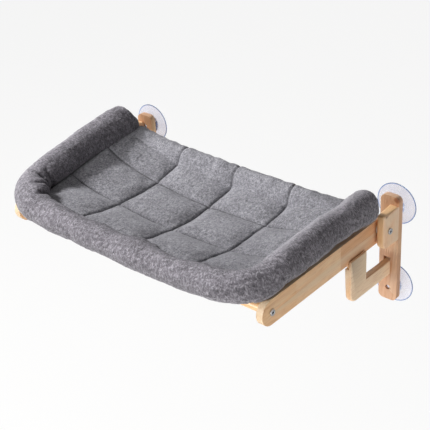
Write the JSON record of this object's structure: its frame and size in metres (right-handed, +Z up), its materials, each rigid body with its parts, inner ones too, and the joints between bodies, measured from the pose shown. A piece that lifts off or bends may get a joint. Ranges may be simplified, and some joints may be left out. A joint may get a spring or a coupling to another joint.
{
  "type": "window mounted cat perch",
  "caption": "Window perch for a cat: wooden frame on suction cups carries a hinged sling seat with a quilted mat and a plush bolster on three sides.",
  "frame": {"origin": "on the window glass, midway between the faces of the four suction cups", "axes": "+X along the window to the right, +Y out of the room through the glass, +Z up"},
  "size_m": [0.6324, 0.394, 0.2546],
  "materials": {
    "wood": "finger jointed pine, clear lacquer",
    "steel": "zinc plated",
    "clear_vinyl": "clear moulded vinyl",
    "brass": "turned",
    "nylon": "plain",
    "canvas": "woven canvas",
    "plush": "short pile plush, quilted"
  },
  "bodies": {
    "window_frame": {"post_left": "wood", "post_right": "wood", "block_left": "wood", "block_right": "wood", "block_screw_upper_left": "steel", "block_screw_upper_right": "steel", "block_screw_lower_left": "steel", "block_screw_lower_right": "steel", "cup_upper_left": "clear_vinyl", "cup_upper_right": "clear_vinyl", "cup_lower_left": "clear_vinyl", "cup_lower_right": "clear_vinyl", "support_left": "wood", "support_right": "wood"},
    "seat": {"rail_left": "wood", "rail_right": "wood", "front_bar": "wood", "rear_bar": "wood", "front_bolt_left": "steel", "front_bolt_right": "steel", "pivot_bolt_left": "steel", "pivot_bolt_right": "steel", "front_insert_left": "brass", "front_insert_right": "brass", "rear_insert_left": "brass", "rear_insert_right": "brass", "spacer_left": "nylon", "spacer_right": "nylon", "stop_peg_left": "wood", "stop_peg_right": "wood", "sling": "canvas", "mat": "plush", "bolster": "plush"}
  },
  "joints": [
    {"name": "seat_tilt", "type": "hinge", "parent": "window_frame", "child": "seat", "pos_m": [0, -0.05, 0.0545], "axis": [-1, 0, 0], "range_deg": [0, 45]}
  ]
}
